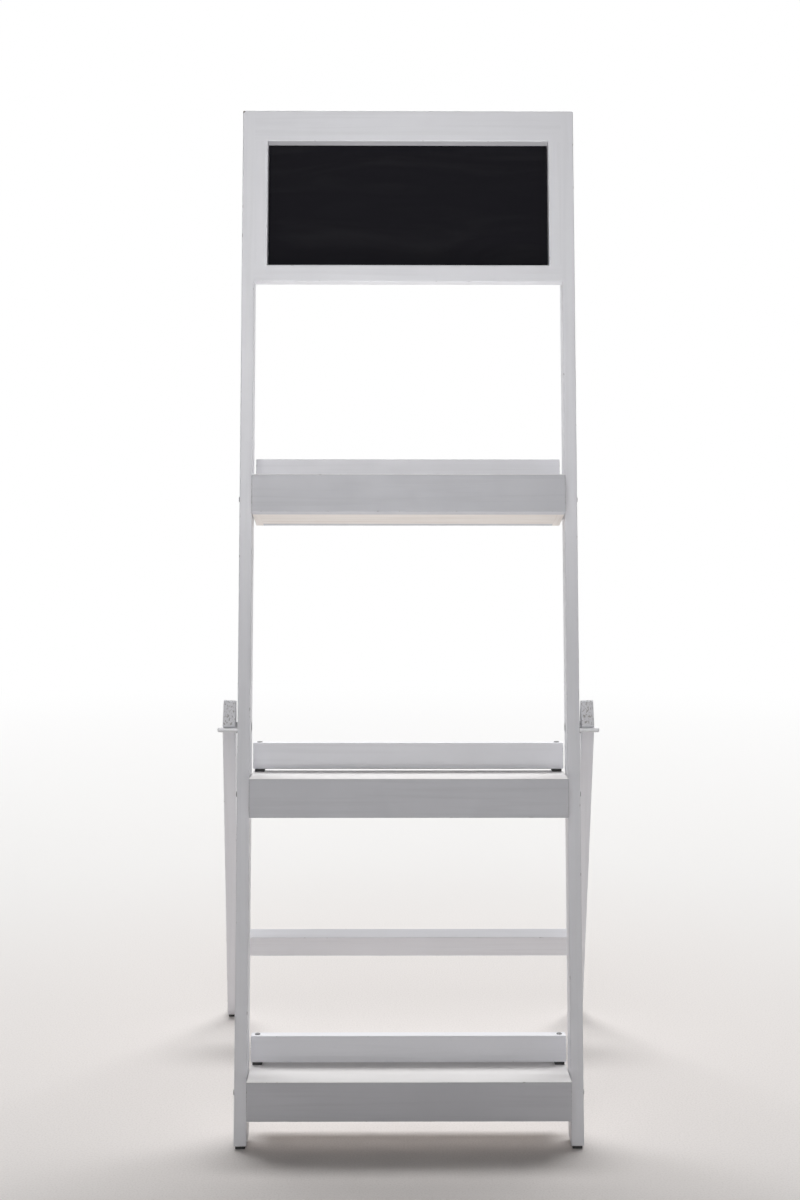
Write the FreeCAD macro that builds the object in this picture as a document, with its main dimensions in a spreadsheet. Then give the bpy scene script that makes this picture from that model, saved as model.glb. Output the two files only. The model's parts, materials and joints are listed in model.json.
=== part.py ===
import FreeCAD, Part
import math
import os
from types import SimpleNamespace

import Sketcher
from FreeCAD import Placement, Rotation, Vector

# Folding step shelf, in millimetres and degrees.
# Two leaning uprights carry a framed chalkboard and three tray steps that turn on pivot bolts.
# Two splayed rear legs with a crossbar swing on hinge bolts and open against stop pins.
# The origin is on the floor, at the middle of the overall width and depth. The front faces -Y.

SIZES = {
    # front frame
    "frame_width": 430.0,
    "stock": 16.0,
    "upright_depth": 32.0,
    "upright_length": 1318.0,
    "lean": 10.15,
    # header with the chalkboard
    "top_rail_height": 41.0,
    "bottom_rail_height": 22.0,
    "opening_height": 165.0,
    "stile_width": 17.0,
    "rail_depth": 16.0,
    "board_thickness": 5.0,
    "board_lap": 14.0,
    "board_play": 0.5,
    "dowel_diameter": 8.0,
    "dowel_in_rail": 20.0,
    "dowel_in_upright": 10.0,
    "board_screw_diameter": 3.0,
    "board_screw_head": 6.5,
    "board_screw_head_height": 2.0,
    "board_screw_bite": 10.0,
    "board_screw_inset": 24.0,
    # feet
    "glide_height": 4.0,
    "glide_inset": 2.0,
    # trays
    "tray_side_gap": 0.8,
    "tray_depth": 82.0,
    "tray_height": 48.8,
    "panel_thickness": 9.0,
    "underside_thickness": 6.0,
    "front_rail_thickness": 16.0,
    "rear_rail_thickness": 12.0,
    "cheek_thickness": 10.0,
    "back_rail_height": 33.5,
    "back_rail_thickness": 16.0,
    "spacer_height": 3.5,
    "spacer_width": 12.0,
    "spacer_inset": 2.2,
    "rail_screw_diameter": 4.0,
    "rail_screw_head": 7.0,
    "rail_screw_head_height": 1.2,
    "rail_screw_bite": 7.0,
    "pivot_setback": 37.0,
    "pivot_diameter": 5.0,
    "pivot_head": 8.0,
    "pivot_head_height": 2.0,
    "pivot_washer": 14.0,
    "pivot_nut": 9.0,
    "pivot_nut_height": 4.0,
    "top_tray_rise": 808.0,
    "top_tray_tilt": 14.4,
    "middle_tray_below_hinge": 84.7,
    "middle_tray_tilt": 2.9,
    "bottom_tray_rise": 66.3,
    "bottom_tray_tilt": 2.5,
    # rear legs
    "hinge_rise": 517.5,
    "hinge_from_back": 7.0,
    "hinge_bolt_diameter": 6.0,
    "hinge_bolt_head": 12.0,
    "hinge_bolt_head_height": 4.0,
    "hinge_washer": 16.0,
    "hinge_nut": 11.0,
    "hinge_nut_height": 6.0,
    "leg_spread": 48.25,
    "leg_splay": 3.2,
    "leg_depth": 26.0,
    "leg_end_setback": 5.8,
    "leg_tip_blunt": 4.0,
    "leg_before_hinge": 12.0,
    "leg_gap": 4.0,
    "bar_drop": 461.0,
    "bar_height": 44.5,
    "bar_thickness": 16.0,
    "bar_setback": 5.0,
    "bar_screw_diameter": 4.0,
    "bar_screw_head": 8.0,
    "bar_screw_head_height": 3.0,
    "bar_screw_length": 50.0,
    "bar_screw_spacing": 22.0,
    # stop pins
    "pin_diameter": 6.0,
    "pin_setback": 6.75,
    "pin_embed": 12.0,
    "pin_overhang": 5.5,
    # fits
    "running_clearance": 0.05,
    "loose_clearance": 0.3,
    "overrun": 10.0,
}
SIDES = {"left": -1, "right": 1}
TRAYS = ("top_tray", "middle_tray", "bottom_tray")
DOWEL_SHARES = {"top": (0.25, 0.75), "bottom": (0.5,)}
BOARD_SCREW_SHARES = (-1, 0, 1)
BAR_SCREW_SHARES = (-0.5, 0.5)
QUARTER_TURN = 90.0
X_AXIS = Vector(1, 0, 0)
Y_AXIS = Vector(0, 1, 0)
ALONG = {"x": Rotation(Y_AXIS, QUARTER_TURN), "y": Rotation(X_AXIS, -QUARTER_TURN), "z": Rotation()}


class Size:
    """A length or angle that keeps the sheet formula it comes from beside its value."""

    def __init__(self, value, formula):
        self.value = value
        self.formula = formula

    def __add__(self, other):
        return Size(self.value + other.value, f"({self.formula} + {other.formula})")

    def __sub__(self, other):
        return Size(self.value - other.value, f"({self.formula} - {other.formula})")

    def __neg__(self):
        return Size(-self.value, f"(0 - {self.formula})")

    def __mul__(self, share):
        if isinstance(share, Size):
            return Size(self.value * share.value, f"({self.formula} * {share.formula})")
        return Size(self.value * share, f"({self.formula} * {share})")

    def __truediv__(self, share):
        if isinstance(share, Size):
            return Size(self.value / share.value, f"({self.formula} / {share.formula})")
        return Size(self.value / share, f"({self.formula} / {share})")


def sine(angle):
    """Sine of an angle of the sheet."""
    return Size(math.sin(math.radians(angle.value)), f"sin({angle.formula})")


def cosine(angle):
    """Cosine of an angle of the sheet."""
    return Size(math.cos(math.radians(angle.value)), f"cos({angle.formula})")


def tangent(angle):
    """Tangent of an angle of the sheet."""
    return Size(math.tan(math.radians(angle.value)), f"tan({angle.formula})")


doc = FreeCAD.newDocument("step_shelf")
sheet = doc.addObject("Spreadsheet::Sheet", "Sizes")
for row, (alias, number) in enumerate(SIZES.items(), start=1):
    sheet.set(f"A{row}", alias)
    sheet.set(f"B{row}", str(number))
    sheet.setAlias(f"B{row}", alias)
doc.recompute()

dim = SimpleNamespace(**{alias: Size(number, f"Sizes.{alias}") for alias, number in SIZES.items()})
ZERO = Size(0.0, "0")
nodes = []


def at(x, y, z):
    """Placement that only moves, to a point given in sizes."""
    return Placement(Vector(x.value, y.value, z.value), Rotation())


def turned(axis, degrees):
    """Placement that only turns about an axis through the origin."""
    return Placement(Vector(), Rotation(axis, degrees))


def across(sign, inner, outer):
    """Range in x from an inner to an outer distance, on the left (-1) or the right (+1)."""
    return (inner, outer) if sign > 0 else (-outer, -inner)


def bind(feature, **sizes):
    """Tie the named properties of a feature to formulas over the sheet."""
    for name, size in sizes.items():
        feature.setExpression(name, size.formula)


def board(label, frame, x, y, z):
    """Rectangular board that fills the ranges x, y and z of a frame."""
    feature = doc.addObject("Part::Box", label)
    bind(feature, Length=x[1] - x[0], Width=y[1] - y[0], Height=z[1] - z[0])
    feature.Placement = frame.multiply(at(x[0], y[0], z[0]))
    return feature


def rod(label, frame, axis, diameter, start, length):
    """Round rod of a frame that runs from a start point along +x, +y or +z."""
    feature = doc.addObject("Part::Cylinder", label)
    bind(feature, Radius=diameter / 2, Height=length)
    feature.Placement = frame.multiply(at(*start)).multiply(Placement(Vector(), ALONG[axis]))
    return feature


def cross_rod(label, frame, diameter, x, y, z):
    """Rod along x over a range of x, at one y and z of a frame."""
    return rod(label, frame, "x", diameter, (x[0], y, z), x[1] - x[0])


def joined(label, pieces):
    """Fuse pieces into one solid."""
    feature = doc.addObject("Part::MultiFuse", label)
    feature.Shapes = pieces
    return feature


def cut(label, blank, tools):
    """Cut all tools out of a blank."""
    feature = doc.addObject("Part::Cut", label)
    feature.Base = blank
    feature.Tool = tools[0] if len(tools) == 1 else joined(f"{label}_tools", tools)
    return feature


def ring(label, frame, diameter, bore, x, y, z):
    """Washer or round nut along x with a bore."""
    blank = cross_rod(f"{label}_blank", frame, diameter, x, y, z)
    hole = (x[0] - dim.overrun, x[1] + dim.overrun)
    return cut(label, blank, [cross_rod(f"{label}_bore", frame, bore, hole, y, z)])


def group(label, pieces):
    """Identical pieces that share one node."""
    feature = doc.addObject("Part::Compound", label)
    feature.Links = pieces
    return feature


def keep(feature):
    """List a finished sub-part as a node to write."""
    feature.Label = feature.Name
    nodes.append(feature)
    return feature


# widths and angles that several pieces share
half_width = dim.frame_width / 2
inner_half = half_width - dim.stock
leg_inner = half_width + dim.leg_gap
leg_outer = leg_inner + dim.stock
leg_lean = dim.leg_spread - dim.lean
mid_depth = dim.upright_depth / 2
running = dim.running_clearance * 2
loose = dim.loose_clearance * 2

# levels along the uprights, from the floor end
header_top = dim.upright_length
opening_top = header_top - dim.top_rail_height
opening_bottom = opening_top - dim.opening_height
header_bottom = opening_bottom - dim.bottom_rail_height

# tray levels and depths, from the pivot
tray_half = inner_half - dim.tray_side_gap
tray_front = -dim.pivot_setback
tray_back = dim.tray_depth - dim.pivot_setback
tray_top = dim.tray_height / 2
tray_bottom = -tray_top
panel_under = tray_top - dim.panel_thickness
back_rail_low = tray_top + dim.spacer_height
back_rail_top = back_rail_low + dim.back_rail_height

# stop pin: just ahead of the open leg's front face, a little above the hinge along the leg
hinge_setback = dim.upright_depth - dim.hinge_from_back
pin_ahead = dim.leg_before_hinge + dim.pin_diameter / 2 + dim.loose_clearance
pin_reach = hinge_setback - dim.pin_setback - pin_ahead * cosine(dim.leg_spread)
pin_above_hinge = pin_reach / sine(dim.leg_spread)
pin_rise = dim.hinge_rise - pin_ahead * sine(dim.leg_spread) + pin_above_hinge * cosine(dim.leg_spread)

# leg end: sawn parallel to the uprights' front faces, with its sharp tip cut off square to the leg
leg_behind_hinge = dim.leg_depth - dim.leg_before_hinge
tip_setback = hinge_setback + leg_behind_hinge * cosine(dim.leg_spread) - dim.leg_end_setback
leg_above_hinge = tip_setback / sine(dim.leg_spread) - dim.leg_tip_blunt

# height and depth of the hinge above the front foot, and of the rear foot on the floor
hinge_height = dim.hinge_rise * cosine(dim.lean) - hinge_setback * sine(dim.lean)
hinge_depth = dim.hinge_rise * sine(dim.lean) + hinge_setback * cosine(dim.lean)
foot_drop = hinge_height - dim.glide_height
foot_front = hinge_depth + foot_drop * tangent(leg_lean) - dim.leg_before_hinge / cosine(leg_lean)
foot_back = foot_front + dim.leg_depth / cosine(leg_lean)
leg_reach = hinge_height / cosine(leg_lean) + dim.leg_depth * tangent(leg_lean) + dim.overrun

# the bottom tray stands out furthest at the front, the rear feet at the back
low_tilt = dim.bottom_tray_tilt
pivot_depth = dim.bottom_tray_rise * sine(dim.lean) + mid_depth * cosine(dim.lean)
nose = pivot_depth - dim.pivot_setback * cosine(low_tilt) - tray_top * sine(low_tilt)
middle_depth = (nose + foot_back) / 2

# frames: the floor, the leaning uprights, each tray at its pivot, the legs at their hinge
floor_frame = at(ZERO, -middle_depth, ZERO)
front_frame = floor_frame.multiply(turned(X_AXIS, -dim.lean.value))
hinge_frame = front_frame.multiply(at(ZERO, hinge_setback, dim.hinge_rise))
hinge_frame = hinge_frame.multiply(turned(X_AXIS, dim.leg_spread.value))
tray_rise = {
    "top_tray": dim.top_tray_rise,
    "middle_tray": dim.hinge_rise - dim.middle_tray_below_hinge,
    "bottom_tray": dim.bottom_tray_rise,
}
tray_tilt = {name: getattr(dim, f"{name}_tilt") for name in TRAYS}
tray_frame = {}
for name in TRAYS:
    pivot = front_frame.multiply(at(ZERO, mid_depth, tray_rise[name]))
    tray_frame[name] = pivot.multiply(turned(X_AXIS, dim.lean.value - tray_tilt[name].value))

# everything below the soles of the feet, cut away from the uprights and legs
below_floor = board("below_floor", floor_frame, (-dim.frame_width, dim.frame_width),
                    (-dim.upright_length, dim.upright_length), (-dim.hinge_rise, dim.glide_height))


def dowel_places():
    """Name, side and level of each dowel between a header rail and an upright."""
    rails = {"top": (opening_top, dim.top_rail_height), "bottom": (header_bottom, dim.bottom_rail_height)}
    for rail, (low, height) in rails.items():
        for number, share in enumerate(DOWEL_SHARES[rail], start=1):
            for side in SIDES:
                yield rail, side, f"{side}_{rail}_dowel_{number}", low + height * share


def dowel(label, side, level, diameter):
    """Dowel, or its hole, across the joint between a header rail and an upright."""
    x = across(SIDES[side], inner_half - dim.dowel_in_rail, inner_half + dim.dowel_in_upright)
    return cross_rod(label, front_frame, diameter, x, dim.rail_depth / 2, level)


def board_screw_places(rail):
    """Number, x and level of each chalkboard screw in one header rail."""
    level = opening_top + dim.board_lap / 2 if rail == "top" else opening_bottom - dim.board_lap / 2
    for number, share in enumerate(BOARD_SCREW_SHARES, start=1):
        yield number, (inner_half - dim.board_screw_inset) * share, level


def board_screw_hole(label, x, level):
    """Hole for a chalkboard screw, through the board and into a header rail."""
    start = (x, dim.rail_depth - dim.board_screw_bite, level)
    length = dim.board_screw_bite + dim.board_thickness + dim.overrun
    return rod(label, front_frame, "y", dim.board_screw_diameter + running, start, length)


def build_upright(side):
    """Upright with its holes, cut level at the foot."""
    sign = SIDES[side]
    label = f"{side}_upright"
    blank = board(f"{label}_blank", front_frame, across(sign, inner_half, half_width),
                  (ZERO, dim.upright_depth), (ZERO, dim.upright_length))
    through = across(sign, inner_half - dim.overrun, half_width + dim.overrun)
    tools = [below_floor]
    for name in TRAYS:
        tools.append(cross_rod(f"{label}_{name}_hole", front_frame, dim.pivot_diameter + running, through,
                               mid_depth, tray_rise[name]))
    tools.append(cross_rod(f"{label}_hinge_hole", front_frame, dim.hinge_bolt_diameter + running, through,
                           hinge_setback, dim.hinge_rise))
    recess = across(sign, inner_half - dim.overrun, inner_half + dim.hinge_nut_height)
    tools.append(cross_rod(f"{label}_nut_recess", front_frame, dim.hinge_nut + running, recess,
                           hinge_setback, dim.hinge_rise))
    socket = across(sign, half_width - dim.pin_embed, half_width + dim.overrun)
    tools.append(cross_rod(f"{label}_pin_socket", front_frame, dim.pin_diameter + running, socket,
                           dim.pin_setback, pin_rise))
    for _, dowel_side, name, level in dowel_places():
        if dowel_side == side:
            tools.append(dowel(f"{label}_{name}_hole", side, level, dim.dowel_diameter + running))
    keep(cut(label, blank, tools))


def build_header():
    """Frame of rails and stiles with the chalkboard screwed to its back."""
    front = (ZERO, dim.rail_depth)
    levels = {"top": (opening_top, header_top), "bottom": (header_bottom, opening_bottom)}
    screws = []
    board_holes = []
    for rail, level in levels.items():
        label = f"header_{rail}_rail"
        blank = board(f"{label}_blank", front_frame, (-inner_half, inner_half), front, level)
        tools = [dowel(f"{label}_{name}_hole", side, height, dim.dowel_diameter + running)
                 for end, side, name, height in dowel_places() if end == rail]
        for number, x, height in board_screw_places(rail):
            screw = f"{rail}_board_screw_{number}"
            tools.append(board_screw_hole(f"{screw}_hole", x, height))
            board_holes.append(board_screw_hole(f"{screw}_board_hole", x, height))
            screws.append(build_board_screw(screw, x, height))
        keep(cut(label, blank, tools))
    for side, sign in SIDES.items():
        width = across(sign, inner_half - dim.stile_width, inner_half)
        keep(board(f"header_{side}_stile", front_frame, width, front, (opening_bottom, opening_top)))
    board_half = inner_half - dim.board_play
    blank = board("chalkboard_blank", front_frame, (-board_half, board_half),
                  (dim.rail_depth, dim.rail_depth + dim.board_thickness),
                  (opening_bottom - dim.board_lap, opening_top + dim.board_lap))
    keep(cut("chalkboard", blank, board_holes))
    keep(group("chalkboard_screws", screws))
    keep(group("header_dowels", [dowel(name, side, level, dim.dowel_diameter)
                                 for _, side, name, level in dowel_places()]))


def build_board_screw(label, x, level):
    """Screw from behind, through the chalkboard into a header rail."""
    back = dim.rail_depth + dim.board_thickness
    tip = dim.rail_depth - dim.board_screw_bite
    shank = rod(f"{label}_shank", front_frame, "y", dim.board_screw_diameter, (x, tip, level), back - tip)
    head = rod(f"{label}_head", front_frame, "y", dim.board_screw_head, (x, back, level),
               dim.board_screw_head_height)
    return joined(label, [shank, head])


def build_hinge(side):
    """Hinge bolt with its washer and nut, and the stop pin, on one upright."""
    sign = SIDES[side]
    y, z = hinge_setback, dim.hinge_rise
    shank = cross_rod(f"{side}_hinge_shank", front_frame, dim.hinge_bolt_diameter,
                      across(sign, inner_half, leg_outer - dim.hinge_bolt_head_height), y, z)
    head = cross_rod(f"{side}_hinge_head", front_frame, dim.hinge_bolt_head,
                     across(sign, leg_outer - dim.hinge_bolt_head_height, leg_outer), y, z)
    keep(joined(f"{side}_hinge_bolt", [shank, head]))
    bore = dim.hinge_bolt_diameter + running
    washer = ring(f"{side}_hinge_washer", front_frame, dim.hinge_washer, bore,
                  across(sign, half_width, leg_inner), y, z)
    nut = ring(f"{side}_hinge_nut", front_frame, dim.hinge_nut, bore,
               across(sign, inner_half, inner_half + dim.hinge_nut_height), y, z)
    pin_end = leg_outer + dim.pin_overhang - dim.pin_diameter / 2
    rod_part = cross_rod(f"{side}_pin_rod", front_frame, dim.pin_diameter,
                         across(sign, half_width - dim.pin_embed, pin_end), dim.pin_setback, pin_rise)
    dome = doc.addObject("Part::Sphere", f"{side}_pin_dome")
    bind(dome, Radius=dim.pin_diameter / 2)
    dome.Placement = front_frame.multiply(at(pin_end * sign, dim.pin_setback, pin_rise))
    keep(joined(f"{side}_stop_pin", [rod_part, dome]))
    return washer, nut


def leg_splay_at(drop):
    """How far a leg has moved outwards at a distance below its hinge."""
    return drop * tangent(dim.leg_splay)


def bar_screw_places():
    """Number and drop below the hinge of the screws in each end of the crossbar."""
    for number, share in enumerate(BAR_SCREW_SHARES, start=1):
        yield number, dim.bar_drop + dim.bar_screw_spacing * share


def bar_screw_parts(side, label, drop, play):
    """Shank and head of a crossbar screw, or of its hole when play is given."""
    sign = SIDES[side]
    outer = leg_outer + leg_splay_at(drop)
    head_low = outer - dim.bar_screw_head_height
    y = dim.bar_setback - dim.leg_before_hinge + dim.bar_thickness / 2
    shank = cross_rod(f"{label}_shank", hinge_frame, dim.bar_screw_diameter + play,
                      across(sign, outer - dim.bar_screw_length, head_low), y, -drop)
    head_high = outer if play is ZERO else outer + dim.overrun
    head = cross_rod(f"{label}_head", hinge_frame, dim.bar_screw_head + play,
                     across(sign, head_low, head_high), y, -drop)
    return [shank, head]


def build_leg(side):
    """Rear leg, splayed outwards from its hinge, sawn at its top end and cut level at the foot."""
    sign = SIDES[side]
    label = f"{side}_rear_leg"
    leg_frame = hinge_frame.multiply(at(leg_inner * sign, ZERO, ZERO))
    leg_frame = leg_frame.multiply(turned(Y_AXIS, -sign * dim.leg_splay.value))
    blank = board(f"{label}_blank", leg_frame, across(sign, ZERO, dim.stock),
                  (-dim.leg_before_hinge, leg_behind_hinge),
                  (-leg_reach, leg_above_hinge))
    through = across(sign, leg_inner - dim.overrun, leg_outer + dim.overrun)
    bore = cross_rod(f"{label}_bore", hinge_frame, dim.hinge_bolt_diameter + running, through, ZERO, ZERO)
    sunk = across(sign, leg_outer - dim.hinge_bolt_head_height, leg_outer + dim.overrun)
    recess = cross_rod(f"{label}_recess", hinge_frame, dim.hinge_bolt_head + loose, sunk, ZERO, ZERO)
    seat = cross_rod(f"{label}_washer_seat", hinge_frame, dim.hinge_washer + loose,
                     across(sign, leg_inner - dim.leg_gap, leg_inner), ZERO, ZERO)
    end_waste = board(f"{label}_end_waste", front_frame, across(sign, half_width, dim.frame_width),
                      (-dim.upright_depth, dim.leg_end_setback), (ZERO, dim.upright_length))
    tools = [below_floor, end_waste, bore, recess, seat]
    for number, drop in bar_screw_places():
        tools += bar_screw_parts(side, f"{label}_screw_hole_{number}", drop, running)
    keep(cut(label, blank, tools))


def build_crossbar():
    """Crossbar between the legs, with ends cut to their splay, and its screws."""
    body = doc.addObject("PartDesign::Body", "crossbar_blank")
    sketch = body.newObject("Sketcher::SketchObject", "crossbar_face")
    plane = [item for item in body.Origin.OriginFeatures if item.Role == "XZ_Plane"][0]
    sketch.AttachmentSupport = [(plane, "")]
    sketch.MapMode = "FlatFace"
    high = dim.bar_drop - dim.bar_height / 2
    low = dim.bar_drop + dim.bar_height / 2
    widths = ((leg_inner + leg_splay_at(low)) * 2, (leg_inner + leg_splay_at(high)) * 2)
    corners = [Vector(widths[0].value / -2, 0, 0), Vector(widths[0].value / 2, 0, 0),
               Vector(widths[1].value / 2, dim.bar_height.value, 0),
               Vector(widths[1].value / -2, dim.bar_height.value, 0)]
    for start, end in zip(corners, corners[1:] + corners[:1]):
        sketch.addGeometry(Part.LineSegment(start, end), False)
    for edge in range(len(corners)):
        sketch.addConstraint(Sketcher.Constraint("Coincident", edge, 2, (edge + 1) % len(corners), 1))
    for edge, width in ((0, widths[0]), (2, widths[1])):
        sketch.addConstraint(Sketcher.Constraint("Symmetric", edge, 1, edge, 2, -2))
        limit = sketch.addConstraint(Sketcher.Constraint("Distance", edge, width.value))
        sketch.setExpression(f"Constraints[{limit}]", width.formula)
    sketch.addConstraint(Sketcher.Constraint("PointOnObject", 0, 1, -1))
    limit = sketch.addConstraint(Sketcher.Constraint("DistanceY", 0, 2, 1, 2, dim.bar_height.value))
    sketch.setExpression(f"Constraints[{limit}]", dim.bar_height.formula)
    pad = body.newObject("PartDesign::Pad", "crossbar_pad")
    pad.Profile = sketch
    pad.Reversed = True
    bind(pad, Length=dim.bar_thickness)
    body.Placement = hinge_frame.multiply(at(ZERO, dim.bar_setback - dim.leg_before_hinge, -low))
    tools = []
    screws = []
    for side in SIDES:
        for number, drop in bar_screw_places():
            label = f"{side}_crossbar_screw_{number}"
            tools.append(bar_screw_parts(side, f"{label}_pilot", drop, running)[0])
            screws.append(joined(label, bar_screw_parts(side, label, drop, ZERO)))
    keep(cut("rear_crossbar", body, tools))
    keep(group("crossbar_screws", screws))


def build_glides():
    """Pads under the four feet."""
    inset = dim.glide_inset
    toe = dim.glide_height * tangent(dim.lean)
    heel = toe + dim.upright_depth / cosine(dim.lean)
    drop = foot_drop / cosine(leg_lean) + (dim.leg_depth / 2 - dim.leg_before_hinge) * tangent(leg_lean)
    rear_inner = leg_inner + leg_splay_at(drop)
    for side, sign in SIDES.items():
        keep(board(f"{side}_front_glide", floor_frame, across(sign, inner_half + inset, half_width - inset),
                   (toe + inset, heel - inset), (ZERO, dim.glide_height)))
        keep(board(f"{side}_rear_glide", floor_frame,
                   across(sign, rear_inner + inset, rear_inner + dim.stock - inset),
                   (foot_front + inset, foot_back - inset), (ZERO, dim.glide_height)))


def build_tray(name):
    """One tray step: a closed box with a raised back rail, on two pivot bolts."""
    frame = tray_frame[name]
    behind_front = tray_front + dim.front_rail_thickness
    before_rear = tray_back - dim.rear_rail_thickness
    cheek_inner = tray_half - dim.cheek_thickness
    rail_front = tray_back - dim.back_rail_thickness
    rail_mid = tray_back - dim.back_rail_thickness / 2
    spacer_outer = tray_half - dim.spacer_inset
    spacer_inner = spacer_outer - dim.spacer_width
    spacer_mid = spacer_outer - dim.spacer_width / 2
    screw_low = tray_top - dim.rail_screw_bite
    full = (-tray_half, tray_half)
    between = (-cheek_inner, cheek_inner)
    keep(board(f"{name}_front_rail", frame, full, (tray_front, behind_front), (tray_bottom, tray_top)))
    keep(board(f"{name}_underside", frame, between, (behind_front, before_rear),
               (tray_bottom, tray_bottom + dim.underside_thickness)))
    keep(board(f"{name}_rear_rail", frame, between, (before_rear, tray_back), (tray_bottom, panel_under)))
    panel = board(f"{name}_panel_blank", frame, full, (behind_front, tray_back), (panel_under, tray_top))
    rail = board(f"{name}_back_rail_blank", frame, full, (rail_front, tray_back),
                 (back_rail_low, back_rail_top))
    holes = []
    pieces = {kind: [] for kind in ("spacers", "rail_screws", "pivot_bolts", "pivot_washers", "pivot_nuts")}
    for side, sign in SIDES.items():
        label = f"{name}_{side}"
        start = (spacer_mid * sign, rail_mid, screw_low)
        hole = rod(f"{label}_screw_hole", frame, "z", dim.rail_screw_diameter + running, start,
                   back_rail_top - screw_low + dim.overrun)
        holes.append(hole)
        pad = board(f"{label}_spacer_blank", frame, across(sign, spacer_inner, spacer_outer),
                    (rail_front, tray_back), (tray_top, back_rail_low))
        pieces["spacers"].append(cut(f"{label}_spacer", pad, [hole]))
        shank = rod(f"{label}_screw_shank", frame, "z", dim.rail_screw_diameter, start,
                    back_rail_top - screw_low)
        head = rod(f"{label}_screw_head", frame, "z", dim.rail_screw_head,
                   (spacer_mid * sign, rail_mid, back_rail_top), dim.rail_screw_head_height)
        pieces["rail_screws"].append(joined(f"{label}_screw", [shank, head]))
        cheek = board(f"{label}_cheek_blank", frame, across(sign, cheek_inner, tray_half),
                      (behind_front, tray_back), (tray_bottom, panel_under))
        bore = dim.pivot_diameter + running
        through = across(sign, cheek_inner - dim.overrun, tray_half + dim.overrun)
        pivot_hole = cross_rod(f"{label}_pivot_hole", frame, bore, through, ZERO, ZERO)
        keep(cut(f"{label}_cheek", cheek, [pivot_hole]))
        nut_inner = cheek_inner - dim.pivot_nut_height
        bolt = cross_rod(f"{label}_pivot_shank", frame, dim.pivot_diameter,
                         across(sign, nut_inner, half_width), ZERO, ZERO)
        bolt_head = cross_rod(f"{label}_pivot_head", frame, dim.pivot_head,
                              across(sign, half_width, half_width + dim.pivot_head_height), ZERO, ZERO)
        pieces["pivot_bolts"].append(joined(f"{label}_pivot_bolt", [bolt, bolt_head]))
        pieces["pivot_washers"].append(ring(f"{label}_pivot_washer", frame, dim.pivot_washer, bore,
                                            across(sign, tray_half, inner_half), ZERO, ZERO))
        pieces["pivot_nuts"].append(ring(f"{label}_pivot_nut", frame, dim.pivot_nut, bore,
                                         across(sign, nut_inner, cheek_inner), ZERO, ZERO))
    keep(cut(f"{name}_panel", panel, holes))
    keep(cut(f"{name}_back_rail", rail, holes))
    for kind, members in pieces.items():
        keep(group(f"{name}_{kind}", members))


def write_nodes():
    """Check every object and write each node's solids."""
    doc.recompute()
    for item in doc.Objects:
        if any(word in item.State for word in ("Invalid", "Error")):
            raise RuntimeError(f"{item.Name} failed: {item.State}")
    os.makedirs("parts", exist_ok=True)
    whole = FreeCAD.BoundBox()
    for item in nodes:
        shape = item.Shape
        if shape.isNull() or not shape.isValid() or not shape.Solids:
            raise RuntimeError(f"{item.Label} has no valid solid")
        shape.exportStep(f"parts/{item.Label}.step")
        whole.add(shape.BoundBox)
    print(len(nodes), "nodes", whole)


for side_name in SIDES:
    build_upright(side_name)
build_header()
hinge_rings = [build_hinge(side_name) for side_name in SIDES]
keep(group("hinge_washers", [washer for washer, _ in hinge_rings]))
keep(group("hinge_nuts", [nut for _, nut in hinge_rings]))
for side_name in SIDES:
    build_leg(side_name)
build_crossbar()
build_glides()
for tray_name in TRAYS:
    build_tray(tray_name)
write_nodes()
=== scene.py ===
"""Looks of a folding step shelf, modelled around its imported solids.

Two leaning uprights hold a framed chalkboard and three tray steps. A rear leg frame folds out behind them.
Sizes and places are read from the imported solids. Only what the solids leave out, such as eased edges, driver
recesses and finishes, has values of its own here. Lengths are in metres.
"""

import json
import logging
import math
from dataclasses import dataclass, field, replace
from enum import Enum
from typing import Any, Callable, ClassVar, Optional, Sequence

import bmesh
import bpy
from mathutils import Matrix, Vector


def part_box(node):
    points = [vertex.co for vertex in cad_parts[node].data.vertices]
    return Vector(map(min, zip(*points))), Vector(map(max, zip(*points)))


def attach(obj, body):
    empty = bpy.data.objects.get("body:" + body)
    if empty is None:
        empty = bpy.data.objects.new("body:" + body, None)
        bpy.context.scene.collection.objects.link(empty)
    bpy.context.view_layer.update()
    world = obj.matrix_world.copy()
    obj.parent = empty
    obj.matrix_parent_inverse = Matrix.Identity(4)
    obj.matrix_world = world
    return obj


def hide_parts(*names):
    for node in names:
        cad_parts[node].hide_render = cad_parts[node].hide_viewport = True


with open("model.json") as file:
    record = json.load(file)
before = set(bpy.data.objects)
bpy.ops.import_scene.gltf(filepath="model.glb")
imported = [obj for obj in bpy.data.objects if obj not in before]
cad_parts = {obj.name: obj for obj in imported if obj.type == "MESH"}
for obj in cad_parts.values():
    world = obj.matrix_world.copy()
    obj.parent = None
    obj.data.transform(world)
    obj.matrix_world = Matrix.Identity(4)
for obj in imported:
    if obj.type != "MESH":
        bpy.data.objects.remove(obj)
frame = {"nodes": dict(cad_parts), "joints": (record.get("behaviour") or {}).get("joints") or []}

LOG = logging.getLogger("step_shelf")

MM = 0.001
NEAR = 0.02 * MM
FACING = 0.7
FLAT = 0.99
CREASE = math.radians(17.0)
SMOOTH_BELOW = math.radians(40.0)

Colour = tuple[float, float, float]
Span = tuple[Vector, Vector]
Socket = bpy.types.NodeSocket
Mesh = bmesh.types.BMesh
Object = bpy.types.Object


class Side(Enum):
    """The two sides of the shelf, as seen from the front."""

    LEFT = -1
    RIGHT = 1

    @property
    def word(self) -> str:
        """The side's name as the solids spell it."""
        return self.name.lower()

    @property
    def outward(self) -> Vector:
        """The direction away from the middle of the shelf."""
        return Vector((self.value, 0.0, 0.0))


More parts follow.
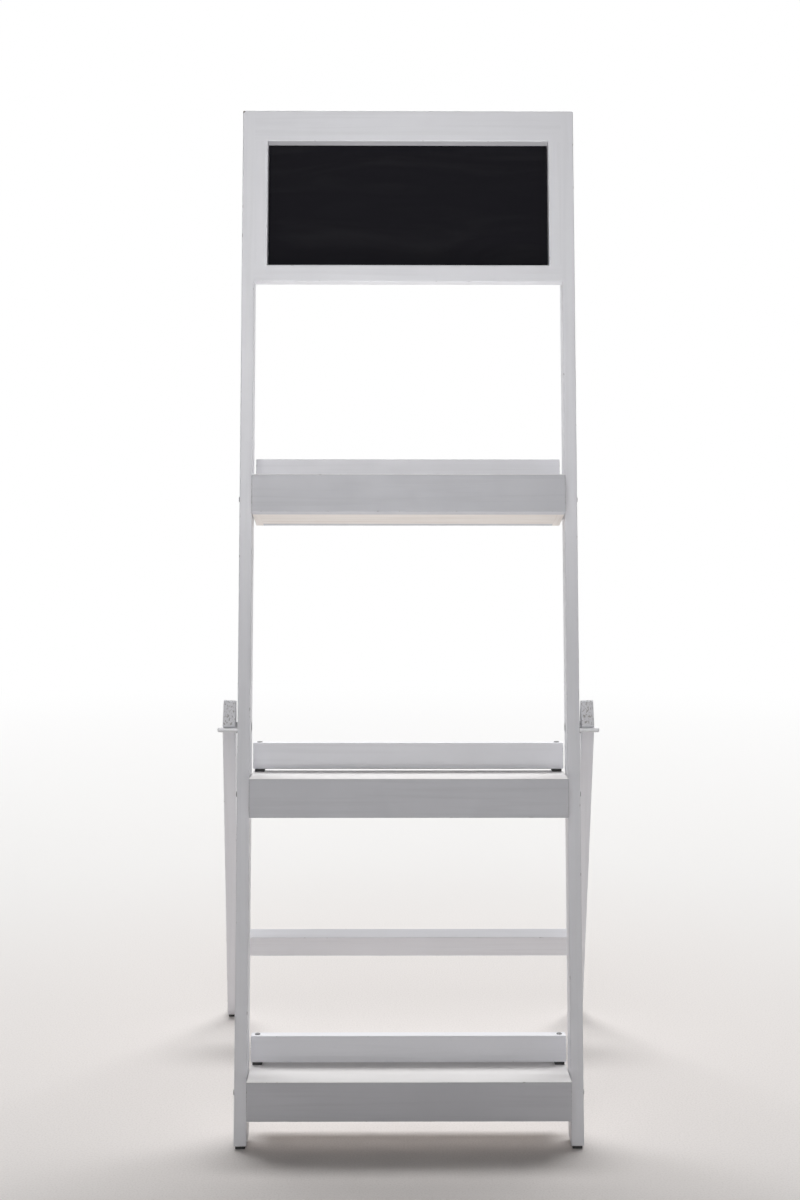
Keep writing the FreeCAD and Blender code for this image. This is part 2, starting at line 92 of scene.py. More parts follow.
class Axis(Enum):
    """A board's own axes: across the shelf, towards its back, and up."""

    ACROSS = 0
    BACK = 1
    UP = 2

    @property
    def way(self) -> Vector:
        """The axis as a direction."""
        return Vector([float(self.value == i) for i in range(3)])


class Driver(Enum):
    """The recess that a fastener is driven by."""

    HEXAGON = "hexagon"
    CROSS = "cross"


BACKWARDS = Vector((0.0, 1.0, 0.0))
UPWARDS = Vector((0.0, 0.0, 1.0))
ACROSS = Vector((1.0, 0.0, 0.0))


def broad_normal(node: str, towards: Vector) -> Vector:
    """Finds the way that a solid's broadest face on one side looks.

    Args:
        node: Name of the solid.
        towards: Rough direction of that side.

    Returns:
        The unit normal of that face.
    """
    totals: dict[tuple[float, ...], Vector] = {}
    for face in frame["nodes"][node].data.polygons:
        if face.normal.dot(towards) > FACING:
            key = tuple(round(part, 2) for part in face.normal)
            totals[key] = totals.get(key, Vector()) + face.normal * face.area
    return max(totals.values(), key=lambda total: total.length).normalized()


def joint_place(name: str) -> Vector:
    """Reads where a joint turns.

    Args:
        name: Name of the joint.

    Returns:
        A point on its axis, in the middle of the shelf.
    """
    row = next(joint for joint in frame["joints"] if joint["name"] == name)
    return Vector(row["pos_m"])


@dataclass(frozen=True)
class Lay:
    """The axes that a group of boards is made in.

    Attributes:
        turn: Rotation from the boards' own axes to the shelf's.
    """

    turn: Matrix

    @classmethod
    def facing(cls, across: Vector, back: Vector) -> "Lay":
        """Builds a lay from two of its directions.

        Args:
            across: Direction of the boards' first axis.
            back: Direction of their second axis.

        Returns:
            The lay whose third axis is square to both.
        """
        return cls(Matrix((across, back, across.cross(back))).transposed())

    def own(self, point: Vector) -> Vector:
        """Gives a point of the shelf in the boards' own axes."""
        return self.turn.transposed() @ point

    def placed(self, point: Vector) -> Vector:
        """Gives a point of the boards' own axes in the shelf's frame."""
        return self.turn @ point

    def span(self, node: str) -> Span:
        """Measures a solid along the boards' own axes.

        Args:
            node: Name of the solid.

        Returns:
            Its lowest and highest corner in those axes.
        """
        return corners([self.own(vertex.co) for vertex in frame["nodes"][node].data.vertices])

    def spans(self, node: str) -> list[Span]:
        """Measures each separate body of a solid along the boards' own axes.

        Args:
            node: Name of the solid.

        Returns:
            The lowest and highest corner of each body, from left to right and then upwards.
        """
        mesh = bmesh.new()
        mesh.from_mesh(frame["nodes"][node].data)
        bmesh.ops.remove_doubles(mesh, verts=mesh.verts[:], dist=NEAR)
        waiting = set(mesh.verts)
        found = []
        while waiting:
            island, rim = set(), [waiting.pop()]
            while rim:
                vertex = rim.pop()
                island.add(vertex)
                fresh = {edge.other_vert(vertex) for edge in vertex.link_edges} & waiting
                waiting -= fresh
                rim.extend(fresh)
            found.append(corners([self.own(vertex.co) for vertex in island]))
        mesh.free()
        return sorted(found, key=lambda span: (round(span[0].x, 3), round(span[0].z, 3)))


def corners(points: Sequence[Vector]) -> Span:
    """Finds the lowest and highest corner of some points."""
    low = Vector([min(point[i] for point in points) for i in range(3)])
    high = Vector([max(point[i] for point in points) for i in range(3)])
    return low, high


def every(mesh: Mesh) -> list[Any]:
    """Lists all the geometry of a mesh, for the operators that cut it."""
    return mesh.verts[:] + mesh.edges[:] + mesh.faces[:]


def open_edges(mesh: Mesh) -> list[bmesh.types.BMEdge]:
    """Lists the edges round the openings of a mesh."""
    return [edge for edge in mesh.edges if edge.is_boundary]


def sink_opening(mesh: Mesh, step: Vector) -> None:
    """Carries the one opening of a mesh inwards and closes it with a floor.

    Args:
        mesh: The mesh, with a single opening.
        step: How far, and which way, the floor lies from the opening.
    """
    walls = bmesh.ops.extrude_edge_only(mesh, edges=open_edges(mesh))
    floor = [item for item in walls["geom"] if isinstance(item, bmesh.types.BMVert)]
    bmesh.ops.translate(mesh, verts=floor, vec=step)
    bmesh.ops.edgeloop_fill(mesh, edges=open_edges(mesh))


class NodeSheet:
    """The nodes of one material or world, added and linked in short calls."""

    def __init__(self, owner: Any) -> None:
        """Starts from the shader that Blender gives a new material or world.

        Args:
            owner: The material or world.
        """
        self.owner = owner
        owner.use_nodes = True
        self.tree = owner.node_tree
        self.shader = next(node for node in self.tree.nodes if node.outputs)
        self.place = self.add("ShaderNodeTexCoord", {}).outputs["Object"]

    def feed(self, socket: Socket, value: Any) -> None:
        """Links a socket, or sets it where the value is plain.

        Args:
            socket: The input socket.
            value: Another node's output, or a plain value.
        """
        if isinstance(value, Socket):
            self.tree.links.new(value, socket)
        elif socket.type == "RGBA":
            socket.default_value = (*value, 1.0)
        else:
            socket.default_value = value

    def add(self, kind: str, inputs: dict[Any, Any], **settings: Any) -> bpy.types.Node:
        """Adds one node.

        Args:
            kind: Blender's name for the node.
            inputs: Values or outputs for its sockets, by name or number.
            settings: Values for its own properties.

        Returns:
            The node.
        """
        node = self.tree.nodes.new(kind)
        for name, value in settings.items():
            setattr(node, name, value)
        for socket, value in inputs.items():
            self.feed(node.inputs[socket], value)
        return node

    def surface(self, **inputs: Any) -> None:
        """Sets sockets of the shader, with underscores for the spaces in their names."""
        for name, value in inputs.items():
            self.feed(self.shader.inputs[name.replace("_", " ")], value)

    def attribute(self, name: str, output: str) -> Socket:
        """Reads an attribute of the piece's own mesh."""
        return self.add("ShaderNodeAttribute", {}, attribute_name=name).outputs[output]

    def vector(self, operation: str, *inputs: Any) -> Socket:
        """Works on places by one operation of Blender's Vector Math node."""
        node = self.add("ShaderNodeVectorMath", dict(enumerate(inputs)), operation=operation)
        return node.outputs["Value" if operation == "LENGTH" else "Vector"]

    def stretch(self, place: Socket, scale: Colour) -> Socket:
        """Scales a place differently along each axis."""
        return self.vector("MULTIPLY", place, scale)

    def noise(
        self, place: Socket, scale: float, detail: float = 3.0, warp: float = 0.0
    ) -> Socket:
        """Adds a noise pattern.

        Args:
            place: Where the pattern is read.
            scale: How fine it is, in waves per metre.
            detail: How many finer patterns lie on it.
            warp: How far it is distorted.

        Returns:
            Its height, from 0 to 1.
        """
        inputs = {"Vector": place, "Scale": scale, "Detail": detail, "Distortion": warp}
        return self.add("ShaderNodeTexNoise", inputs).outputs["Fac"]

    def span(
        self, value: Socket, start: float, end: float, low: float = 0.0, high: float = 1.0
    ) -> Socket:
        """Maps a value smoothly from one range to another, and no further.

        Args:
            value: The value.
            start: The value that gives low.
            end: The value that gives high.
            low: First end of the new range.
            high: Other end of the new range.

        Returns:
            The mapped value.
        """
        inputs = {"Value": value, 1: start, 2: end, 3: low, 4: high}
        return self.add("ShaderNodeMapRange", inputs, interpolation_type="SMOOTHSTEP").outputs["Result"]

    def sum(self, operation: str, first: Any, second: Any) -> Socket:
        """Joins two values by one operation of Blender's Math node."""
        return self.add("ShaderNodeMath", {0: first, 1: second}, operation=operation).outputs[0]

    def mix(self, factor: Any, first: Any, second: Any) -> Socket:
        """Mixes two colours.

        Args:
            factor: Share of the second colour.
            first: A colour, or an output that gives one.
            second: The other colour.

        Returns:
            The mixed colour.
        """
        inputs = {0: factor, 6: first, 7: second}
        return self.add("ShaderNodeMix", inputs, data_type="RGBA").outputs[2]

    def bump(self, height: Socket, strength: float, depth: float) -> Socket:
        """Turns a height into a normal for the shader."""
        inputs = {"Height": height, "Strength": strength, "Distance": depth}
        return self.add("ShaderNodeBump", inputs).outputs["Normal"]

    def seen_plainly(self) -> Socket:
        """Tells the rays that see a background from those that light the shelf.

        Returns:
            1 for camera, mirror and see-through rays, and 0 for the rest.
        """
        path = self.add("ShaderNodeLightPath", {})
        seen = path.outputs["Is Camera Ray"]
        for other in ("Is Glossy Ray", "Is Transmission Ray"):
            seen = self.sum("MAXIMUM", seen, path.outputs[other])
        return seen


@dataclass(frozen=True)
class Finish:
    """What a surface is finished with.

    Attributes:
        name: Name of the material.
        colour: Its main colour.
    """

    name: str
    colour: Colour

    def lay_on(self, sheet: NodeSheet) -> None:
        """Adds the finish's nodes to a material."""
        raise NotImplementedError(self.name)

    def material(self) -> bpy.types.Material:
        """Gives the finish's material, made when it is first asked for.

        Returns:
            The material.
        """
        if self.name not in bpy.data.materials:
            self.lay_on(NodeSheet(bpy.data.materials.new(self.name)))
        return bpy.data.materials[self.name]


@dataclass(frozen=True)
class Chip:
    """A spot where the paint has come off.

    Attributes:
        place: Its middle, in the shelf's frame.
        reach: How far it spreads along each axis.
    """

    place: Colour
    reach: Colour


@dataclass(frozen=True)
class BrushedPaint(Finish):
    """Satin paint brushed on planed wood.

    Attributes:
        thin: Colour where the paint is thin over the grain.
        bare: Colour of the wood and dirt in a chip.
        streaks: How much of the thin colour shows.
        gloss: Roughness of the smoothest and of the dullest spots.
        grain: Waves per metre along, across and through the board.
        grain_depth: Depth of the grain under the paint.
        wear: How dark the nicks along the arrises are.
        chips: Spots without paint.
    """

    thin: Colour = (0.66, 0.65, 0.65)
    bare: Colour = (0.20, 0.17, 0.15)
    streaks: float = 0.35
    gloss: tuple[float, float] = (0.36, 0.50)
    grain: Colour = (5.0, 150.0, 150.0)
    grain_depth: float = 0.10 * MM
    wear: float = 0.35
    chips: tuple[Chip, ...] = ()

    def lay_on(self, sheet: NodeSheet) -> None:
        """Adds grain, brush clouds, worn arrises, end grain and chips.

        Args:
            sheet: The material's nodes.
        """
        along = sheet.attribute("grain_place", "Vector")
        grain = sheet.noise(sheet.stretch(along, self.grain), 1.0, detail=6.0, warp=0.4)
        cloud = sheet.noise(sheet.place, 11.0, detail=3.0)
        streak = sheet.sum("MULTIPLY", sheet.span(grain, 0.42, 0.72), self.streaks)
        haze = sheet.sum("MULTIPLY", sheet.span(cloud, 0.35, 0.75), 0.5 * self.streaks)
        colour = sheet.mix(sheet.sum("MAXIMUM", streak, haze), self.colour, self.thin)
        marks = self.marks(sheet, along)
        sheet.surface(
            Base_Color=sheet.mix(marks, colour, self.bare),
            Roughness=sheet.span(sheet.noise(sheet.place, 70.0), 0.3, 0.7, *self.gloss),
            Normal=sheet.bump(self.relief(sheet, grain, marks), 0.6, self.grain_depth),
        )

    def marks(self, sheet: NodeSheet, along: Socket) -> Socket:
        """Adds the places where the paint is worn, pitted or chipped.

        Args:
            sheet: The material's nodes.
            along: Place along the board's grain.

        Returns:
            How much of the wood shows, from 0 to 1.
        """
        nicks = sheet.span(sheet.noise(sheet.place, 120.0, detail=4.0), 0.64, 0.72, 0.0, self.wear)
        worn = sheet.sum("MULTIPLY", nicks, sheet.attribute("arris", "Fac"))
        pores = sheet.noise(sheet.stretch(along, (0.0, 420.0, 520.0)), 1.0, detail=4.0, warp=0.8)
        pitted = sheet.span(pores, 0.53, 0.64, 0.0, 0.65)
        pits = sheet.sum("MULTIPLY", pitted, sheet.attribute("end_grain", "Fac"))
        marks = sheet.sum("MAXIMUM", worn, pits)
        ragged = sheet.noise(sheet.place, 900.0, detail=3.0)
        for chip in self.chips:
            scale = tuple(1.0 / reach for reach in chip.reach)
            off = sheet.vector("SUBTRACT", sheet.place, chip.place)
            far = sheet.vector("LENGTH", sheet.stretch(off, scale))
            torn = sheet.sum("ADD", far, ragged)
            marks = sheet.sum("MAXIMUM", marks, sheet.span(torn, 1.45, 1.25, 0.0, 0.9))
        return marks

    def relief(
        self, sheet: NodeSheet, grain: Socket, marks: Socket
    ) -> Socket:
        """Adds up the heights of grain, brush marks and worn places.

        Args:
            sheet: The material's nodes.
            grain: Height of the grain.
            marks: Where wood shows.

        Returns:
            The surface's height, in shares of the grain's depth.
        """
        orange_peel = sheet.noise(sheet.place, 650.0, detail=2.0)
        height = sheet.sum("ADD", grain, sheet.sum("MULTIPLY", orange_peel, 0.25))
        return sheet.sum("SUBTRACT", height, sheet.sum("MULTIPLY", marks, 2.5))


@dataclass(frozen=True)
class BlackboardPaint(Finish):
    """Matt blackboard paint with wiped chalk left on it.

    Attributes:
        dust: Colour of the chalk haze.
        haze: How much of it shows.
    """

    dust: Colour = (0.060, 0.060, 0.064)
    haze: float = 0.16

    def lay_on(self, sheet: NodeSheet) -> None:
        """Adds wiped streaks, a fine tooth and a dull sheen.

        Args:
            sheet: The material's nodes.
        """
        wiped = sheet.noise(sheet.stretch(sheet.place, (5.0, 9.0, 26.0)), 1.0, detail=6.0, warp=1.2)
        tooth = sheet.noise(sheet.place, 1600.0, detail=2.0)
        chalk = sheet.span(wiped, 0.40, 0.80, 0.0, self.haze)
        sheet.surface(
            Base_Color=sheet.mix(chalk, self.colour, self.dust),
            Roughness=sheet.span(wiped, 0.3, 0.7, 0.62, 0.78),
            Specular_IOR_Level=0.06,
            Normal=sheet.bump(tooth, 0.3, 0.05 * MM),
        )


@dataclass(frozen=True)
class Metal(Finish):
    """Plated or painted steel.

    Attributes:
        dull: Colour of the duller spots.
        metallic: 1 for plate, 0 for paint.
        gloss: Roughness of the smoothest and of the dullest spots.
    """

    dull: Colour = (0.44, 0.44, 0.45)
    metallic: float = 1.0
    gloss: tuple[float, float] = (0.30, 0.48)

    def lay_on(self, sheet: NodeSheet) -> None:
        """Adds spangle, dull spots and fine scratches.

        Args:
            sheet: The material's nodes.
        """
        spangle = sheet.noise(sheet.place, 420.0, detail=3.0)
        scratch = sheet.noise(sheet.stretch(sheet.place, (260.0, 2600.0, 2600.0)), 1.0, detail=2.0)
        sheet.surface(
            Base_Color=sheet.mix(sheet.span(spangle, 0.35, 0.70), self.colour, self.dull),
            Metallic=self.metallic,
            Roughness=sheet.span(spangle, 0.3, 0.7, *self.gloss),
            Normal=sheet.bump(scratch, 0.25, 0.03 * MM),
        )


@dataclass(frozen=True)
class Moulded(Finish):
    """Dark moulded rubber or plastic.

    Attributes:
        scuff: Colour of the scuffed spots.
        gloss: Roughness of the smoothest and of the dullest spots.
    """

    scuff: Colour = (0.10, 0.10, 0.10)
    gloss: tuple[float, float] = (0.5, 0.7)

    def lay_on(self, sheet: NodeSheet) -> None:
        """Adds a fine moulded texture and scuffs.

        Args:
            sheet: The material's nodes.
        """
        scuffs = sheet.noise(sheet.place, 180.0, detail=5.0)
        texture = sheet.noise(sheet.place, 2200.0, detail=1.0)
        sheet.surface(
            Base_Color=sheet.mix(sheet.span(scuffs, 0.5, 0.8, 0.0, 0.6), self.colour, self.scuff),
            Roughness=sheet.span(scuffs, 0.3, 0.7, *self.gloss),
            Normal=sheet.bump(texture, 0.4, 0.05 * MM),
        )


@dataclass(frozen=True)
class BareBeech(Finish):
    """Bare beech with its short dark flecks.

    Attributes:
        fleck: Colour of the flecks.
    """

    fleck: Colour = (0.42, 0.27, 0.15)

    def lay_on(self, sheet: NodeSheet) -> None:
        """Adds flecks along the dowel and a fine grain.

        Args:
            sheet: The material's nodes.
        """
        flecks = sheet.noise(sheet.stretch(sheet.place, (180.0, 900.0, 900.0)), 1.0, detail=3.0)
        sheet.surface(
            Base_Color=sheet.mix(sheet.span(flecks, 0.5, 0.7), self.colour, self.fleck),
            Roughness=sheet.span(flecks, 0.3, 0.7, 0.55, 0.7),
            Normal=sheet.bump(flecks, 0.3, 0.1 * MM),
        )


FRAME_PAINT = BrushedPaint("frame_paint", (0.80, 0.80, 0.835), thin=(0.70, 0.70, 0.73))
# The trays' front and rear rails: the frame's white paint darkened to grey as painted shade, for the shade on
# the rails' front faces.
SHADED_TRAY_PAINT = BrushedPaint("tray_paint", (0.59, 0.59, 0.625), thin=(0.51, 0.51, 0.54), streaks=0.5)
# The trays' panels and the front rails' top faces: white paint made lighter than the frame's, as painted light
# on the upward faces.
LIT_PANEL_PAINT = BrushedPaint(
    "panel_paint", (0.90, 0.885, 0.88), thin=(0.86, 0.84, 0.835), gloss=(0.45, 0.6), grain_depth=0.01 * MM
)
# The trays' undersides and cheeks: white paint tinted warm as painted light, for the warm light that the floor
# throws up onto them.
UNDERSIDE_BOUNCE_PAINT = BrushedPaint(
    "underside_paint", (0.88, 0.83, 0.79), thin=(0.74, 0.67, 0.62), streaks=0.7, gloss=(0.45, 0.6)
)
BOARD_PAINT = BlackboardPaint("board_paint", (0.0078, 0.0074, 0.0102))
ZINC = Metal("zinc", (0.62, 0.62, 0.64))
PAINTED_STEEL = Metal(
    "painted_steel", (0.72, 0.72, 0.74), dull=(0.62, 0.62, 0.64), metallic=0.0, gloss=(0.35, 0.5)
)
DARK_STEEL = Metal(
    "dark_steel", (0.17, 0.17, 0.175), dull=(0.11, 0.11, 0.115), metallic=0.5, gloss=(0.4, 0.55)
)
GLIDE_PLASTIC = Moulded("glide_plastic", (0.030, 0.030, 0.030))
SPACER_RUBBER = Moulded("spacer_rubber", (0.050, 0.050, 0.050), gloss=(0.6, 0.8))
BEECH = BareBeech("bare_beech", (0.62, 0.45, 0.28))


def piece(
    node: str, mesh: Mesh, finish: Finish, body: str, lit_top_finish: Optional[Finish] = None
) -> Object:
    """Makes a finished mesh the piece that stands for a solid.

    Args:
        node: Name of the solid.
        mesh: The piece's mesh, in the shelf's frame.
        finish: What it is finished with.
        body: The body that it moves with.
        lit_top_finish: A lighter finish that its upward faces take as painted light, where that differs.

    Returns:
        The piece's object.
    """
    name = node + "_dressed"
    bmesh.ops.recalc_face_normals(mesh, faces=mesh.faces[:])
    for edge in mesh.edges:
        edge.smooth = edge.smooth and edge.calc_face_angle(0.0) < SMOOTH_BELOW
    # Upward faces take the lighter second finish, where there is one, as painted light.
    for face in mesh.faces:
        face.smooth = True
        face.material_index = int(lit_top_finish is not None and face.normal.z > FACING)
    data = bpy.data.meshes.new(name)
    mesh.to_mesh(data)
    mesh.free()
    for coat in filter(None, (finish, lit_top_finish)):
        data.materials.append(coat.material())
    made = bpy.data.objects.new(name, data)
    bpy.context.scene.collection.objects.link(made)
    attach(made, body)
    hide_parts(node)
    return made


def dress_solid(node: str, finish: Finish) -> Object:
    """Gives a solid that stays as it is its finish.

    Args:
        node: Name of the solid.
        finish: What it is finished with.

    Returns:
        The solid's object.
    """
    solid = frame["nodes"][node]
    solid.data.materials.clear()
    solid.data.materials.append(finish.material())
    return solid


def gathered(parts: Sequence[Mesh]) -> Mesh:
    """Joins several meshes into one.

    Args:
        parts: The meshes, which are used up.

    Returns:
        The joined mesh.
    """
    whole = bmesh.new()
    for part in parts:
        scratch = bpy.data.meshes.new("part")
        part.to_mesh(scratch)
        part.free()
        whole.from_mesh(scratch)
        bpy.data.meshes.remove(scratch)
    return whole


class Board:
    """One board, made along its own axes and then laid in place."""

    ROUNDING = 3
    SPARE = 10.0 * MM
    RECESS_STEPS = 32
    RECESS_ROOM = 1.3

    def __init__(self, span: Span, lay: Lay, seed: float, sawn: Optional[Axis] = None) -> None:
        """Starts from a block of the board's size.

        Args:
            span: Lowest and highest corner in the board's own axes.
            lay: How those axes lie in the shelf.
            seed: Where the board's grain starts, so that no two boards match.
            sawn: The axis along which the block has spare length, to be sawn off.
        """
        self.low, self.high = span[0].copy(), span[1].copy()
        if sawn:
            self.low[sawn.value] -= self.SPARE
        if sawn is Axis.ACROSS:
            self.high[sawn.value] += self.SPARE
        self.lay = lay
        self.seed = seed
        size = self.high - self.low
        self.mesh = bmesh.new()
        self.arris = self.mesh.faces.layers.float.new("arris")
        self.end_grain = self.mesh.faces.layers.float.new("end_grain")
        self.grain_place = self.mesh.verts.layers.float_vector.new("grain_place")
        block = Matrix.Translation((self.low + self.high) / 2) @ Matrix.Diagonal((*size, 1.0))
        bmesh.ops.create_cube(self.mesh, size=1.0, matrix=block)
        self.order = sorted(range(3), key=lambda axis: -size[axis])

    def score(self, axis: Axis, place: float) -> None:
        """Divides the board's faces at one place, so that its edges can differ on each side.

        Args:
            axis: The axis that the place is measured along.
            place: Where the faces are divided.
        """
        normal = axis.way
        bmesh.ops.bisect_plane(self.mesh, geom=every(self.mesh), plane_co=normal * place, plane_no=normal)

    def cut(self, point: Vector, normal: Vector) -> None:
        """Saws off what lies past a plane and closes the end.

        Args:
            point: A point of the plane, in the board's own axes.
            normal: Direction of what is sawn off.
        """
        bmesh.ops.bisect_plane(
            self.mesh, geom=every(self.mesh), plane_co=point, plane_no=normal, clear_outer=True
        )
        bmesh.ops.edgeloop_fill(self.mesh, edges=open_edges(self.mesh))

    def ease(self, radius: float, kept_sharp: Optional[Callable[[Vector], bool]] = None) -> None:
        """Rounds the board's arrises.

        Args:
            radius: How far the rounding reaches.
            kept_sharp: Says of an edge's middle whether it stays sharp, as at a joint.
        """
        chosen = []
        for edge in self.mesh.edges:
            middle = (edge.verts[0].co + edge.verts[1].co) / 2
            if edge.calc_face_angle(0.0) > CREASE and not (kept_sharp and kept_sharp(middle)):
                chosen.append(edge)
        settings = {"offset_type": "OFFSET", "affect": "EDGES", "profile": 0.5, "material": -1}
        rounded = bmesh.ops.bevel(
            self.mesh, geom=chosen, offset=radius, segments=self.ROUNDING, clamp_overlap=True, **settings
        )
        for face in rounded["faces"]:
            face[self.arris] = 1.0
        for face in rounded["faces"]:
            for edge in face.edges:
                edge.smooth = all(beside[self.arris] for beside in edge.link_faces)

    def recess(self, centre: Vector, radius: float, depth: float, side: Side) -> None:
        """Sinks a round recess into one side of the board.

        Args:
            centre: Middle of the recess on that side, in the board's own axes.
            radius: Radius of the recess.
            depth: How deep it is.
            side: The side that it opens to.
        """
        room = self.RECESS_ROOM * radius
        for axis in (Axis.BACK, Axis.UP):
            for step in (-room, room):
                self.score(axis, centre[axis.value] + step)
        self.mesh.normal_update()
        facing = [face for face in self.mesh.faces if face.normal.x * side.value > FLAT]
        window = min(facing, key=lambda face: (face.calc_center_median() - centre).length)
        rim = list(window.edges)
        bmesh.ops.delete(self.mesh, geom=[window], context="FACES_ONLY")
        upright_ring = Matrix.Translation(centre) @ Matrix.Rotation(math.pi / 2, 4, "Y")
        ring = bmesh.ops.create_circle(
            self.mesh, segments=self.RECESS_STEPS, radius=radius, matrix=upright_ring
        )
        mouth = list({edge for vertex in ring["verts"] for edge in vertex.link_edges})
        bmesh.ops.bridge_loops(self.mesh, edges=rim + mouth)
        sink_opening(self.mesh, -side.outward * depth)

    def laid(self) -> Mesh:
        """Notes the grain on the board and lays it in place.

        Returns:
            The board's mesh, in the shelf's frame.
        """
        self.mesh.normal_update()
        along = self.order[0]
        for face in self.mesh.faces:
            face[self.end_grain] = float(abs(face.normal[along]) > FACING)
        for vertex in self.mesh.verts:
            vertex[self.grain_place] = Vector([vertex.co[axis] for axis in self.order]) + ACROSS * self.seed
        bmesh.ops.transform(self.mesh, matrix=self.lay.turn.to_4x4(), verts=self.mesh.verts[:])
        return self.mesh


GRAIN_STARTS = 97
GRAIN_STEP = 0.37


def grain_seed(name: str) -> float:
    """Works out from a board's name where its grain starts."""
    return sum((place + 1) * ord(letter) for place, letter in enumerate(name)) % GRAIN_STARTS * GRAIN_STEP


class Turning:
    """A turned piece: a profile spun about its own axis, with a driver recess sunk in its end."""

    STEPS = 40
    CORNERS = {Driver.HEXAGON: 6, Driver.CROSS: 12}
    SLOT = 0.3
    INNER = 1.5

    def __init__(self, profile: Sequence[tuple[float, float]]) -> None:
        """Spins a profile.

        Args:
            profile: Radius and height of its points, from the foot to the end. Where it ends off the
                axis, that end stays open.
        """
        self.mesh = bmesh.new()
        points = [self.mesh.verts.new((radius, 0.0, height)) for radius, height in profile]
        lines = [self.mesh.edges.new(pair) for pair in zip(points, points[1:])]
        turn = {"cent": (0.0, 0.0, 0.0), "axis": UPWARDS, "angle": math.tau}
        bmesh.ops.spin(self.mesh, geom=points + lines, steps=self.STEPS, use_merge=True, **turn)
        bmesh.ops.remove_doubles(self.mesh, verts=self.mesh.verts[:], dist=0.2 * NEAR)
        self.height = profile[-1][1]

    def drive(self, driver: Driver, across: float, depth: float) -> None:
        """Sinks the driver recess into the open end.

        Args:
            driver: Shape of the recess.
            across: Half its width.
            depth: How deep it is.
        """
        rim = open_edges(self.mesh)
        level = Matrix.Translation(UPWARDS * self.height)
        circle = bmesh.ops.create_circle(
            self.mesh, segments=self.CORNERS[driver], radius=across, matrix=level
        )
        outline = circle["verts"]
        if driver is Driver.CROSS:
            slot_half = self.SLOT * across
            for vertex in outline:
                x, y, _ = vertex.co
                inner = min(abs(x), abs(y)) > slot_half * self.INNER
                waist = slot_half if inner else across
                vertex.co.x = math.copysign(min(max(abs(x), slot_half), waist), x)
                vertex.co.y = math.copysign(min(max(abs(y), slot_half), waist), y)
        mouth = list({edge for vertex in outline for edge in vertex.link_edges})
        bmesh.ops.bridge_loops(self.mesh, edges=rim + mouth)
        sink_opening(self.mesh, -UPWARDS * depth)

    def stood(self, foot: Vector, along: Vector) -> Mesh:
        """Stands the piece where it belongs.

        Args:
            foot: Where its profile starts.
            along: Direction of its axis.

        Returns:
            The piece's mesh, in the shelf's frame.
        """
        turn = along.to_track_quat("Z", "Y").to_matrix().to_4x4()
        bmesh.ops.transform(self.mesh, matrix=Matrix.Translation(foot) @ turn, verts=self.mesh.verts[:])
        return self.mesh


def arc(
    middle: tuple[float, float], radius: tuple[float, float], steps: int = 6
) -> list[tuple[float, float]]:
    """Works out a quarter round for a turned profile, from its side up to its crown.

    Args:
        middle: Radius and height of the round's centre.
        radius: How far it reaches outwards and upwards.
        steps: How many straight runs stand for it.

    Returns:
        Radius and height of its points.
    """
    turns = [math.pi / 2 * step / steps for step in range(steps + 1)]
    (x, z), (wide, tall) = middle, radius
    return [(x + wide * math.cos(turn), z + tall * math.sin(turn)) for turn in turns]


LEVEL = Lay.facing(ACROSS, BACKWARDS)


@dataclass(frozen=True)
class Fastener:
    """A kind of bolt or screw with a low round head.

    Attributes:
        shank: Radius of its shank.
        head_height: Height of its head.
        driver: Shape of its driver recess.
        along: The axis that it lies along.
        girth: The axis that its head is measured across.
    """

    POINT: ClassVar[float] = 0.4
    CROWN: ClassVar[float] = 0.62
    WALL: ClassVar[float] = 0.35
    DRIVER_ACROSS: ClassVar[float] = 0.46
    DRIVER_DEPTH: ClassVar[float] = 0.75

    shank: float
    head_height: float
    driver: Driver
    along: Axis
    girth: Axis

    def turned(self, span: Span, lay: Lay) -> Mesh:
        """Turns one fastener and stands it in place.

        One that lies across the shelf has its head on the outer side.

        Args:
            span: Lowest and highest corner of its solid.
            lay: The axes that they are given in.

        Returns:
            Its mesh, in the shelf's frame.
        """
        middle = (span[0] + span[1]) / 2
        size = span[1] - span[0]
        length, head = size[self.along.value], size[self.girth.value] / 2
        under_head = length - self.head_height
        point, crown = self.POINT * self.shank, self.CROWN * head
        wall = self.WALL * self.head_height
        profile = [(0.0, 0.0), (self.shank - point, 0.0), (self.shank, point), (self.shank, under_head)]
        profile += [(head, under_head)]
        profile += arc((crown, under_head + wall), (head - crown, self.head_height - wall))
        bolt = Turning(profile)
        bolt.drive(self.driver, self.DRIVER_ACROSS * head, self.DRIVER_DEPTH * self.head_height)
        way = self.along.way
        if self.along is Axis.ACROSS and middle.x < 0.0:
            way = -way
        return bolt.stood(lay.placed(middle - way * length / 2), lay.placed(way))

    def turned_all(self, node: str, lay: Lay) -> Mesh:
        """Turns a fastener for each separate body of a solid."""
        return gathered([self.turned(span, lay) for span in lay.spans(node)])


@dataclass
class Assembly:
    """Pieces that are made together.

    Attributes:
        body: The body that they move with.
        made: The pieces made so far.
    """

    body: str = ""
    made: list[Object] = field(default_factory=list)

    def keep(
        self, node: str, mesh: Mesh, finish: Finish, lit_top_finish: Optional[Finish] = None
    ) -> None:
        """Makes a mesh the piece that stands for the solid of that name."""
        self.made.append(piece(node, mesh, finish, self.body, lit_top_finish))

    def dress(self) -> list[Object]:
        """Finishes the solids that stay as they are, if there are any."""
        return []


